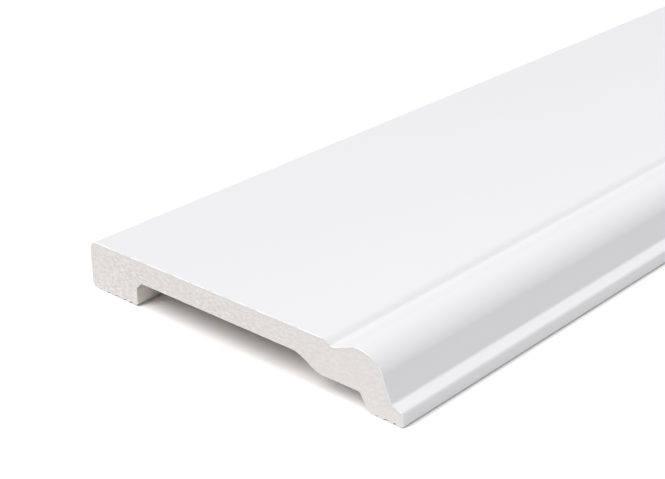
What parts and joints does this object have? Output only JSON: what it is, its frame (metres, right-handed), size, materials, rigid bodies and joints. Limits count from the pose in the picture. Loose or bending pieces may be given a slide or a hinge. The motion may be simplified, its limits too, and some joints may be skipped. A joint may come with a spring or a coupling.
{
  "type": "skirting board",
  "caption": "Length of white polymer skirting moulding with a flat face, a bead and cove along its top edge and a cable channel behind, cut square at its ends.",
  "frame": {"origin": "centre of the board's bounding box, on the surface that its back lies on", "axes": "+X from the floor edge to the moulded top edge, +Y along the length away from the sawn end that the picture shows, +Z out of the back towards the room"},
  "size_m": [0.1194, 0.36, 0.0176],
  "materials": {
    "primed_polymer": "smooth satin white primer, bare warm grey polymer on the sawn ends"
  },
  "bodies": {
    "root": {"skirting_board": "primed_polymer"}
  },
  "joints": []
}
